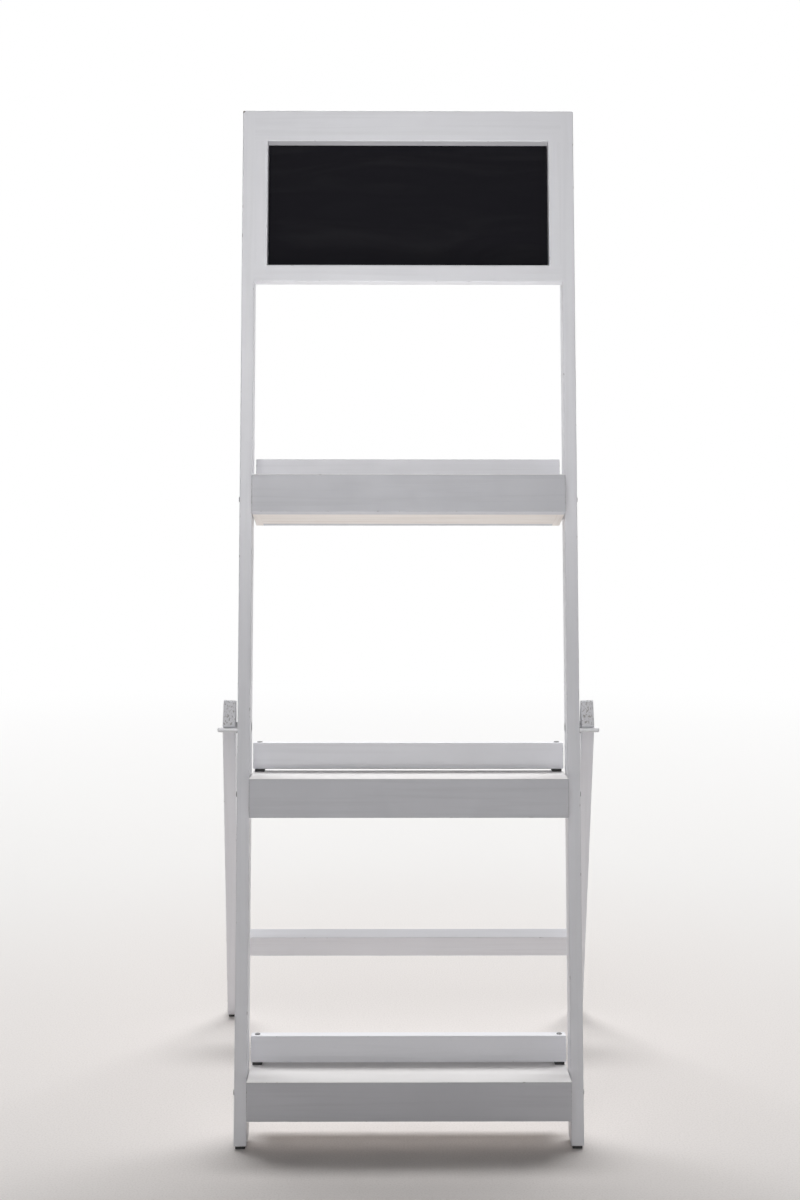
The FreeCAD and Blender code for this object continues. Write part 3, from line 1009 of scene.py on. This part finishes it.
@dataclass
class FrontFrame(Assembly):
    """The leaning uprights with what is fixed to them.

    Attributes:
        ease: Rounding of the arrises.
        board_ease: Rounding of the chalkboard's edges.
        nut_recess: Radius of the recess for a hinge nut.
        nut_depth: How deep that recess is.
        pin_dome: Height of a stop pin's rounded end.
        pin_steps: How many straight runs stand for that rounding.
        chip_reach: Size of the chip at the left upright's top.
        hinge_bolt: The bolts that the rear legs turn on.
        board_screw: The screws that hold the chalkboard.
    """

    ease: float = 1.3 * MM
    board_ease: float = 0.52 * MM
    nut_recess: float = 5.55 * MM
    nut_depth: float = 6.0 * MM
    pin_dome: float = 1.6 * MM
    pin_steps: int = 8
    chip_reach: Colour = (3.5 * MM, 5.0 * MM, 4.0 * MM)
    hinge_bolt: Fastener = Fastener(3.0 * MM, 4.0 * MM, Driver.HEXAGON, Axis.ACROSS, Axis.UP)
    board_screw: Fastener = Fastener(1.5 * MM, 2.0 * MM, Driver.CROSS, Axis.BACK, Axis.ACROSS)
    body: str = "front_frame"

    def __post_init__(self) -> None:
        """Reads the lean of the uprights and the header's place from the solids."""
        self.lay = Lay.facing(ACROSS, -broad_normal("left_upright", -BACKWARDS))
        self.header_foot = self.lay.span("header_bottom_rail")[0].z
        self.opening = self.lay.span("header_right_stile")[0].x
        self.glide_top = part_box("left_front_glide")[1].z
        self.hinge = joint_place("rear_frame_fold")

    def build(self) -> list[Object]:
        """Builds the uprights, the header and the fittings on them.

        Returns:
            The pieces.
        """
        for side in Side:
            self.build_upright(side)
            self.build_stile(side)
            self.build_pin(side)
            self.build_hinge_bolt(side)
        self.build_rails()
        self.build_chalkboard()
        return self.made

    def build_upright(self, side: Side) -> None:
        """Builds one upright, sawn level at its foot, with the recess for its hinge nut."""
        name = f"{side.word}_upright"
        low, high = self.lay.span(name)
        inner = low.x if side is Side.RIGHT else high.x
        board = Board((low, high), self.lay, grain_seed(name), Axis.UP)
        board.cut(self.lay.own(UPWARDS * self.glide_top), self.lay.own(-UPWARDS))
        board.score(Axis.UP, self.header_foot)

        def meets_header(middle: Vector) -> bool:
            """Says whether an edge lies on the header's joint."""
            inside = abs(middle.x - inner) < NEAR and middle.z > self.header_foot
            return inside and (middle.y < low.y + NEAR or middle.z > high.z - NEAR)

        board.ease(self.ease, meets_header)
        nut = self.lay.own(self.hinge)
        nut.x = inner
        board.recess(nut, self.nut_recess, self.nut_depth, Side(-side.value))
        chip = Chip(tuple(self.lay.placed(Vector((low.x, low.y, high.z)))), self.chip_reach)
        worn = replace(FRAME_PAINT, name=f"{FRAME_PAINT.name}_{side.word}", chips=(chip,))
        self.keep(name, board.laid(), worn if side is Side.LEFT else FRAME_PAINT)

    def build_stile(self, side: Side) -> None:
        """Builds one of the header's stiles, eased only along the opening."""
        name = f"header_{side.word}_stile"
        low, high = self.lay.span(name)
        inner = low.x if side is Side.RIGHT else high.x
        board = Board((low, high), self.lay, grain_seed(name))

        def off_opening(middle: Vector) -> bool:
            """Says whether an edge is any but the one along the opening."""
            return abs(middle.x - inner) > NEAR or abs(middle.y - low.y) > NEAR

        board.ease(self.ease, off_opening)
        self.keep(name, board.laid(), FRAME_PAINT)

    def build_rails(self) -> None:
        """Builds the header's rails, with their ends left sharp where they meet the uprights and stiles."""
        for name, opening_above in (("header_bottom_rail", True), ("header_top_rail", False)):
            low, high = self.lay.span(name)
            inner = high.z if opening_above else low.z
            board = Board((low, high), self.lay, grain_seed(name))
            for side in Side:
                board.score(Axis.ACROSS, side.value * self.opening)

            def jointed(middle: Vector) -> bool:
                """Says whether an edge lies on a joint of the header."""
                if abs(middle.x) > high.x - NEAR:
                    return True
                if abs(middle.z - inner) > NEAR:
                    return False
                return abs(middle.x) > self.opening or middle.y > low.y + NEAR

            board.ease(self.ease, jointed)
            self.keep(name, board.laid(), FRAME_PAINT)

    def build_chalkboard(self) -> None:
        """Builds the chalkboard and the screws that hold it to the header's back."""
        board = Board(self.lay.span("chalkboard"), self.lay, 0.0)
        board.ease(self.board_ease)
        self.keep("chalkboard", board.laid(), BOARD_PAINT)
        screws = self.board_screw.turned_all("chalkboard_screws", self.lay)
        self.keep("chalkboard_screws", screws, ZINC)

    def build_pin(self, side: Side) -> None:
        """Builds the stop pin of one side, with a rounded outer end."""
        name = f"{side.word}_stop_pin"
        low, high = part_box(name)
        radius = (high.z - low.z) / 2
        length = high.x - low.x
        profile = [(0.0, 0.0), (radius, 0.0)]
        profile += arc((0.0, length - self.pin_dome), (radius, self.pin_dome), self.pin_steps)
        foot = (low + high) / 2
        foot.x -= side.value * length / 2
        self.keep(name, Turning(profile).stood(foot, side.outward), PAINTED_STEEL)

    def build_hinge_bolt(self, side: Side) -> None:
        """Builds the hinge bolt of one side."""
        name = f"{side.word}_hinge_bolt"
        self.keep(name, self.hinge_bolt.turned(LEVEL.span(name), LEVEL), ZINC)

    def dress(self) -> list[Object]:
        """Finishes the solids that stay: washers, nuts and dowels.

        Returns:
            Their objects.
        """
        plated = [dress_solid(name, ZINC) for name in ("hinge_washers", "hinge_nuts")]
        return plated + [dress_solid("header_dowels", BEECH)]


@dataclass
class RearFrame(Assembly):
    """The two rear legs with the crossbar between them.

    Attributes:
        ease: Rounding of the arrises.
        bolt_recess: Radius of the recess for a hinge bolt's head.
        bolt_depth: How deep that recess is.
        screw_recess: Radius of the recess for a crossbar screw's head.
        bar_screw: The screws that hold the crossbar.
    """

    ease: float = 0.9 * MM
    bolt_recess: float = 6.3 * MM
    bolt_depth: float = 4.0 * MM
    screw_recess: float = 4.05 * MM
    bar_screw: Fastener = Fastener(2.0 * MM, 3.0 * MM, Driver.CROSS, Axis.ACROSS, Axis.BACK)
    body: str = "rear_frame"

    def __post_init__(self) -> None:
        """Reads the spread of the legs and their splay from the solids."""
        back = -broad_normal("rear_crossbar", -BACKWARDS)
        self.bar_lay = Lay.facing(ACROSS, back)
        self.upright_lay = Lay.facing(ACROSS, -broad_normal("left_upright", -BACKWARDS))
        self.leg_lay = {}
        for side in Side:
            outer = broad_normal(f"{side.word}_rear_leg", side.outward) * side.value
            self.leg_lay[side] = Lay.facing(outer, back)
        self.glide_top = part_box("left_rear_glide")[1].z
        self.hinge = joint_place("rear_frame_fold")

    def build(self) -> list[Object]:
        """Builds the legs, the crossbar and its screws.

        Returns:
            The pieces.
        """
        for side in Side:
            self.build_leg(side)
        self.build_crossbar()
        self.keep("crossbar_screws", self.bar_screw.turned_all("crossbar_screws", self.bar_lay), ZINC)
        return self.made

    def screw_heads(self, side: Side) -> list[Vector]:
        """Finds where the crossbar's screws come out on one side.

        Args:
            side: The side.

        Returns:
            The middle of each screw's head, in the shelf's frame.
        """
        found = []
        for low, high in self.bar_lay.spans("crossbar_screws"):
            if side.value * (low.x + high.x) > 0.0:
                head = (low + high) / 2
                head.x = high.x if side is Side.RIGHT else low.x
                found.append(self.bar_lay.placed(head))
        return found

    def build_leg(self, side: Side) -> None:
        """Builds one leg, sawn at its foot and its top end, with the recesses for its bolt and screws."""
        name = f"{side.word}_rear_leg"
        lay = self.leg_lay[side]
        low, high = lay.span(name)
        outer = high.x if side is Side.RIGHT else low.x
        board = Board((low, high), lay, grain_seed(name), Axis.UP)
        board.cut(lay.own(UPWARDS * self.glide_top), lay.own(-UPWARDS))
        end = self.upright_lay.placed(BACKWARDS * self.upright_lay.span(name)[0].y)
        board.cut(lay.own(end), lay.own(self.upright_lay.placed(-BACKWARDS)))
        board.ease(self.ease)
        places = [(self.hinge, self.bolt_recess, self.bolt_depth)]
        sunk = self.bar_screw.head_height
        places += [(head, self.screw_recess, sunk) for head in self.screw_heads(side)]
        for place, radius, depth in places:
            shift = (outer - lay.own(place).x) / lay.own(ACROSS).x
            board.recess(lay.own(place + ACROSS * shift), radius, depth, side)
        self.keep(name, board.laid(), FRAME_PAINT)

    def build_crossbar(self) -> None:
        """Builds the crossbar, with its ends sawn to the legs' splay."""
        name = "rear_crossbar"
        low, high = self.bar_lay.span(name)
        board = Board((low, high), self.bar_lay, grain_seed(name), Axis.ACROSS)
        ends = []
        for side in Side:
            lay = self.leg_lay[side]
            leg_low, leg_high = lay.span(f"{side.word}_rear_leg")
            inner = lay.placed(ACROSS * (leg_low.x if side is Side.RIGHT else leg_high.x))
            normal = self.bar_lay.own(lay.placed(side.outward))
            ends.append((self.bar_lay.own(inner), normal))
            board.cut(*ends[-1])

        def at_leg(middle: Vector) -> bool:
            """Says whether an edge lies against a leg."""
            return any(abs((middle - point).dot(normal)) < NEAR for point, normal in ends)

        board.ease(self.ease, at_leg)
        self.keep(name, board.laid(), FRAME_PAINT)


@dataclass
class Tray(Assembly):
    """One tray step with its back rail and its pivot bolts.

    Attributes:
        ease: Rounding of the arrises.
        pad_ease: Rounding of the spacers.
        pivot_bolt: The bolts that the tray turns on.
        rail_screw: The screws that hold the back rail down.
    """

    ease: float = 1.2 * MM
    pad_ease: float = 0.6 * MM
    pivot_bolt: Fastener = Fastener(2.5 * MM, 2.0 * MM, Driver.HEXAGON, Axis.ACROSS, Axis.UP)
    rail_screw: Fastener = Fastener(1.75 * MM, 1.2 * MM, Driver.CROSS, Axis.UP, Axis.ACROSS)

    def __post_init__(self) -> None:
        """Reads the tray's tilt and its outer faces from the solids."""
        top = broad_normal(self.node("panel"), UPWARDS)
        self.lay = Lay.facing(ACROSS, top.cross(ACROSS))
        nose = self.lay.span(self.node("front_rail"))[0]
        self.front, self.foot = nose.y, nose.z
        self.half_width, self.back, self.top = self.lay.span(self.node("panel"))[1]

    def node(self, part: str) -> str:
        """Names one of the tray's solids."""
        return f"{self.body}_{part}"

    def outside(self, middle: Vector) -> int:
        """Counts the tray's outer faces that a point lies on."""
        gaps = (
            abs(middle.x) - self.half_width,
            middle.y - self.front,
            middle.y - self.back,
            middle.z - self.foot,
            middle.z - self.top,
        )
        return sum(abs(gap) < NEAR for gap in gaps)

    def build(self) -> list[Object]:
        """Builds the tray's boards, its back rail, spacers, screws and bolts.

        Returns:
            The pieces.
        """
        # The rails' grey is painted shade, the undersides' and cheeks' warm tint is painted light from the
        # floor, and the panels' lighter white is painted light.
        finishes = {
            "front_rail": SHADED_TRAY_PAINT,
            "panel": LIT_PANEL_PAINT,
            "rear_rail": SHADED_TRAY_PAINT,
            "underside": UNDERSIDE_BOUNCE_PAINT,
            "left_cheek": UNDERSIDE_BOUNCE_PAINT,
            "right_cheek": UNDERSIDE_BOUNCE_PAINT,
        }
        for part, finish in finishes.items():
            board = self.board(part)
            board.ease(self.ease, lambda middle: self.outside(middle) < 2)
            # The front rail's top faces take the lighter panel colour as painted light, beside the painted
            # shade of its front face.
            lit_top_finish = LIT_PANEL_PAINT if part == "front_rail" else None
            self.keep(self.node(part), board.laid(), finish, lit_top_finish)
        rail = self.board("back_rail")
        rail.ease(self.ease)
        self.keep(self.node("back_rail"), rail.laid(), FRAME_PAINT)
        self.build_spacers()
        for part, fastener in (("rail_screws", self.rail_screw), ("pivot_bolts", self.pivot_bolt)):
            name = self.node(part)
            self.keep(name, fastener.turned_all(name, self.lay), DARK_STEEL)
        return self.made

    def board(self, part: str) -> Board:
        """Starts one of the tray's boards from its solid."""
        return Board(self.lay.span(self.node(part)), self.lay, grain_seed(self.body + part))

    def build_spacers(self) -> None:
        """Builds the two spacers under the back rail."""
        name = self.node("spacers")
        pads = []
        for span in self.lay.spans(name):
            pad = Board(span, self.lay, 0.0)
            pad.ease(self.pad_ease)
            pads.append(pad.laid())
        self.keep(name, gathered(pads), SPACER_RUBBER)

    def dress(self) -> list[Object]:
        """Finishes the solids that stay: the pivots' washers and nuts.

        Returns:
            Their objects.
        """
        return [dress_solid(self.node(part), ZINC) for part in ("pivot_washers", "pivot_nuts")]


@dataclass
class Glides(Assembly):
    """The dark glides under the four feet.

    Attributes:
        ease: Rounding of their edges.
    """

    ease: float = 0.8 * MM

    def build(self) -> list[Object]:
        """Builds one glide under each upright and each rear leg.

        Returns:
            The pieces.
        """
        for side in Side:
            for foot, body in (("front", "front_frame"), ("rear", "rear_frame")):
                name = f"{side.word}_{foot}_glide"
                pad = Board(LEVEL.span(name), LEVEL, grain_seed(name))
                pad.ease(self.ease)
                self.made.append(piece(name, pad.laid(), GLIDE_PLASTIC, body))
        return self.made


@dataclass(frozen=True)
class Lamp:
    """A soft rectangular lamp.

    Attributes:
        name: Name of the lamp.
        place: Where it hangs.
        aim: The point that it faces.
        size: Its width and height.
        watts: Its power.
        spread: How far its light opens, in degrees.
    """

    name: str
    place: Colour
    aim: Colour
    size: tuple[float, float]
    watts: float
    spread: float = 180.0

    def hang(self) -> None:
        """Adds the lamp to the scene."""
        light = bpy.data.lights.new(self.name, "AREA")
        light.shape = "RECTANGLE"
        light.size, light.size_y = self.size
        light.energy = self.watts
        light.spread = math.radians(self.spread)
        made = bpy.data.objects.new(self.name, light)
        made.location = self.place
        made.visible_camera = False
        ahead = Vector(self.aim) - Vector(self.place)
        made.rotation_euler = ahead.to_track_quat("-Z", "Y").to_euler()
        bpy.context.scene.collection.objects.link(made)


@dataclass
class Studio:
    """Floor, light and camera.

    Attributes:
        floor_half: Half the floor's side.
        floor_colour: The floor near the shelf.
        floor_speck: Its darker specks.
        floor_far: The floor away from the shelf.
        paling: Distances from the shelf between which the floor turns to that colour.
        fade: Distances from the shelf at which the floor starts to turn white and is white.
        ambient: Light from all round.
        eye: Where the camera stands.
        pan: Its turn to the right, in degrees.
        dip: Its turn downwards, in degrees.
        roll: Its tilt about its own axis, in degrees.
        lens: Focal length, in millimetres.
        film_height: Height of the camera's frame, in millimetres.
        lamps: The lamps.
    """

    floor_half: float = 9.0
    floor_colour: Colour = (0.80, 0.765, 0.745)
    floor_speck: Colour = (0.73, 0.695, 0.675)
    floor_far: Colour = (0.82, 0.81, 0.80)
    paling: tuple[float, float] = (0.3, 1.4)
    fade: tuple[float, float] = (1.0, 4.2)
    ambient: float = 0.02
    eye: Colour = (-0.02375, -2.21991, 0.83024)
    pan: float = 0.3564
    dip: float = 4.5
    roll: float = 0.0462
    lens: float = 49.5
    film_height: float = 36.0
    lamps: tuple[Lamp, ...] = (
        Lamp("back_lamp", (0.1, 2.6, 5.2), (0.0, -0.2, 0.2), (9.0, 2.4), 385.0),
        Lamp("rear_lamp", (0.1, 5.8, 4.0), (0.0, -0.2, 0.0), (10.0, 2.0), 90.0),
        Lamp("front_lamp", (-0.2, -1.9, 1.9), (0.0, -0.06, 1.33), (1.0, 0.8), 3.9, 92.0),
        Lamp("low_lamp", (0.0, -2.6, 0.3), (0.0, 0.0, 0.6), (2.0, 0.4), 1.7, 70.0),
        Lamp("header_lamp", (-0.05, -0.95, 0.05), (0.0, -0.08, 1.24), (0.7, 0.15), 0.4, 40.0),
    )

    def build(self) -> list[Object]:
        """Sets up the floor, the light and the camera.

        Returns:
            The floor.
        """
        bpy.context.scene.view_settings.view_transform = "Standard"
        self.light()
        self.stand_camera()
        return [self.build_floor()]

    def build_floor(self) -> Object:
        """Builds the pale floor, which turns white away from the shelf.

        Returns:
            The floor.
        """
        mesh = bmesh.new()
        bmesh.ops.create_grid(mesh, x_segments=1, y_segments=1, size=self.floor_half)
        data = bpy.data.meshes.new("floor")
        mesh.to_mesh(data)
        mesh.free()
        floor = bpy.data.objects.new("floor", data)
        bpy.context.scene.collection.objects.link(floor)
        sheet = NodeSheet(bpy.data.materials.new("floor"))
        specks = sheet.noise(sheet.place, 420.0, detail=4.0)
        distance = sheet.vector("LENGTH", sheet.place)
        near = sheet.mix(sheet.span(specks, 0.40, 0.72), self.floor_colour, self.floor_speck)
        sheet.surface(
            Base_Color=sheet.mix(sheet.span(distance, *self.paling), near, self.floor_far),
            Roughness=0.75,
            Specular_IOR_Level=0.2,
        )
        white = sheet.sum("MULTIPLY", sheet.span(distance, *self.fade), sheet.seen_plainly())
        glow = sheet.add("ShaderNodeEmission", {"Color": (1.0, 1.0, 1.0), "Strength": 1.0})
        blend = sheet.add("ShaderNodeMixShader", {0: white, 1: sheet.shader.outputs[0], 2: glow.outputs[0]})
        sheet.tree.links.new(blend.outputs[0], sheet.tree.nodes["Material Output"].inputs["Surface"])
        data.materials.append(sheet.owner)
        return floor

    def light(self) -> None:
        """Sets the light from all round and hangs the lamps."""
        world = bpy.data.worlds.new("studio")
        bpy.context.scene.world = world
        sheet = NodeSheet(world)
        level = sheet.span(sheet.seen_plainly(), 0.0, 1.0, self.ambient, 1.0)
        sheet.surface(Color=(1.0, 1.0, 1.0), Strength=level)
        for lamp in self.lamps:
            lamp.hang()

    def stand_camera(self) -> None:
        """Stands the camera where the photograph was taken from."""
        data = bpy.data.cameras.new("camera")
        data.sensor_fit = "VERTICAL"
        data.sensor_height = self.film_height
        data.lens = self.lens
        camera = bpy.data.objects.new("camera", data)
        turn = Matrix.Rotation(-math.radians(self.pan), 4, "Z")
        turn @= Matrix.Rotation(math.radians(90.0 - self.dip), 4, "X")
        turn @= Matrix.Rotation(math.radians(self.roll), 4, "Z")
        camera.matrix_world = Matrix.Translation(self.eye) @ turn
        bpy.context.scene.collection.objects.link(camera)
        bpy.context.scene.camera = camera


def main() -> None:
    """Builds and dresses the shelf piece by piece, then its studio."""
    logging.basicConfig(level=logging.INFO, format="%(message)s")
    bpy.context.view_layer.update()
    trays = [Tray(body) for body in ("top_tray", "middle_tray", "bottom_tray")]
    for assembly in (FrontFrame(), RearFrame(), *trays, Glides()):
        for made in assembly.build():
            LOG.info("built %s", made.name)
        for made in assembly.dress():
            LOG.info("dressed %s", made.name)
    for made in Studio().build():
        LOG.info("built %s", made.name)


if __name__ == "__main__":
    main()
